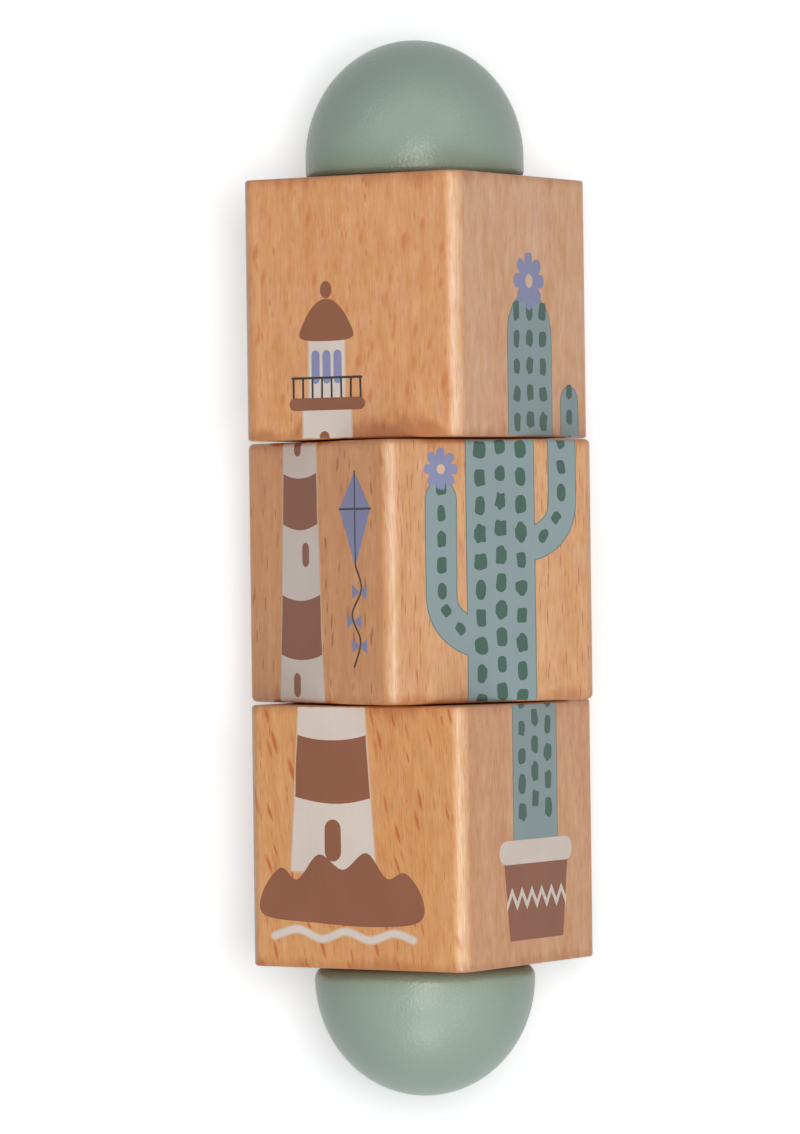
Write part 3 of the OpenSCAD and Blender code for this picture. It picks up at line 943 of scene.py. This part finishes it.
def printing_ink(name):
    """Matt pad-printed ink: flat colour, with a little of the grain showing through."""
    material, tree = new_material(name)
    light, dark = INK_COLOURS[name]
    objects = add(tree, "TexCoord").outputs["Object"]
    fibre = fibres(tree, objects, 11, 2.0)
    cloud = add(tree, "TexNoise", {"Vector": objects, "Scale": 1 / (9 * MM), "Detail": 1.0})
    share = add(tree, "Math", {0: fibre, 1: 0.35, 2: cloud}, operation="MULTIPLY_ADD")
    share = add(tree, "MapRange", {"Value": share, 1: 0.3, 2: 1.24})
    colour = add(tree, "Mix", {"Factor": share, 6: linear(light), 7: linear(dark)},
                 data_type="RGBA")
    bump = add(tree, "Bump", {"Strength": 0.2, "Distance": 0.01 * MM, "Height": fibre})
    return surfaced(material, {"Base Color": colour, "Roughness": 0.5, "Normal": bump})


# The pieces

paint = satin_paint()
for node in ("upper_cap", "lower_cap"):
    cap = painted_cap(node, paint)
    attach(cap, "spindle")
    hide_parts(node)

axle = frame["nodes"]["axle"]
axle.data.materials.clear()
axle.data.materials.append(dowel_beech())

inks = {name: printing_ink(name) for name in INK_COLOURS}
PICTURES = (("lighthouse", lighthouse()), ("cactus", cactus()),
            ("balloon", balloon()), ("sunflower", sunflower()))
for node, block in blocks.items():
    wood = wooden_block(block, beech(block))
    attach(wood, node)
    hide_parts(node)
    for side, (name, layers) in enumerate(PICTURES):
        picture = printed(block, side, name, layers, inks)
        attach(picture, node)


# The floor, the light and the camera

# How far the soft boxes stand from the toy
SOFT_BOX_AWAY = 1150
# Name, azimuth, elevation, side and watts: most of the light comes from above and from the foot of
# the photograph. Only the overhead one lights the floor too, so that the one shadow lies close to
# the toy's left, as photographed.
SOFT_BOXES = (
    ("overhead", -60, 87.5, 450, 5.3), ("foot_low", 180, 38, 450, 3.05),
    ("foot_high", 170, 68, 240, 2.25), ("foot_right", -135, 50, 450, 1.55),
    ("head_right", -45, 38, 450, 1.2), ("head_left", 45, 38, 450, 1.1),
    ("head", 0, 38, 450, 0.75), ("right", -90, 38, 450, 0.68))
ROOM_LIGHT = 0.09
# How far the floor reaches along the dowel and across it
FLOOR_REACH = (200, 140)


def plainly_seen(tree):
    """1 for the rays that show the background itself: from the camera, or mirrored or refracted."""
    path = add(tree, "LightPath").outputs
    mirrored = add(tree, "Math", {
        0: path["Is Glossy Ray"], 1: path["Is Transmission Ray"]}, operation="MAXIMUM")
    return add(tree, "Math", {0: path["Is Camera Ray"], 1: mirrored}, operation="MAXIMUM")


def white_floor():
    """A plain white sheet under the toy that the camera sees brighter than it is lit, so that it
    is pure white but keeps the toy's soft shadow. Beyond it the room is white too, so that its ends
    don't show, and the sides of the half balls stay as dark as photographed."""
    material, tree = new_material("white_floor")
    shown = plainly_seen(tree)
    # A little cooler than white, which takes the wood's warmth out of the shadow
    white = add(tree, "Mix", {
        "Factor": shown, 4: (0.88, 0.88, 0.88), 5: (1.54, 1.58, 1.6)}, data_type="VECTOR")
    matt = add(tree, "BsdfDiffuse", {"Color": white})
    glow = add(tree, "Math", {0: shown, 1: 0.35}, operation="MULTIPLY")
    own_light = add(tree, "Emission", {"Strength": glow})
    both = add(tree, "AddShader", {0: matt, 1: own_light})
    add(tree, "OutputMaterial", {"Surface": both})
    x, y = FLOOR_REACH
    mesh = bpy.data.meshes.new("floor")
    mesh.from_pydata([(-x, -y, 0), (x, -y, 0), (x, y, 0), (-x, y, 0)], [], [(0, 1, 2, 3)])
    mesh.materials.append(material)
    mesh.transform(Matrix.Scale(MM, 4))
    floor = new_object("floor", mesh)
    all_but_it = bpy.data.collections.new("all_but_the_floor")
    all_but_it.objects.link(floor)
    all_but_it.collection_objects[0].light_linking.link_state = "EXCLUDE"
    return all_but_it


def soft_box(name, azimuth, elevation, side, watts, lit=None):
    """A square soft box, turned to the toy. Azimuth runs from +X, the top of the photograph, to +Y,
    its left, and elevation is above the floor. lit is what it lights, where that isn't everything."""
    light = bpy.data.lights.new(name, "AREA")
    light.size = side * MM
    light.energy = watts
    lamp = new_object(name, light)
    lamp.light_linking.receiver_collection = lit
    a, e = math.radians(azimuth), math.radians(elevation)
    way = Vector((math.cos(a) * math.cos(e), math.sin(a) * math.cos(e), math.sin(e)))
    place = Vector((0, 0, DOWEL_Z)) + way * SOFT_BOX_AWAY
    lamp.matrix_world = Matrix.Translation(place * MM) @ way.to_track_quat("Z", "Y").to_matrix().to_4x4()
    lamp.visible_camera = False


def surroundings():
    """A white room: pure white where the camera sees it, and a soft fill for everything else."""
    world = bpy.data.worlds.new("white_room")
    bpy.context.scene.world = world
    world.use_nodes = True
    tree = world.node_tree
    tree.nodes.clear()
    strength = add(tree, "MapRange", {"Value": plainly_seen(tree), 3: ROOM_LIGHT, 4: 1.0})
    fill = add(tree, "Background", {"Color": (1, 1, 1, 1), "Strength": strength})
    add(tree, "OutputWorld", {"Surface": fill})


def camera():
    """The camera at the photograph's place, looking down on the toy with the dowel upright."""
    data = bpy.data.cameras.new("camera")
    data.lens = CAMERA_LENS
    data.clip_end = 20
    made = new_object("camera", data)
    back = (Vector(CAMERA_PLACE) - Vector(CAMERA_AIM)).normalized()
    roll = math.radians(CAMERA_ROLL)
    up = Vector((math.cos(roll), math.sin(roll), 0))
    right = up.cross(back).normalized()
    up = back.cross(right)
    turn = Matrix((right, up, back)).transposed().to_4x4()
    made.matrix_world = Matrix.Translation(Vector(CAMERA_PLACE) * MM) @ turn
    bpy.context.scene.camera = made


all_but_floor = white_floor()
surroundings()
for box in SOFT_BOXES:
    soft_box(*box, lit=None if box[0] == "overhead" else all_but_floor)
camera()
bpy.context.scene.view_settings.view_transform = "Standard"
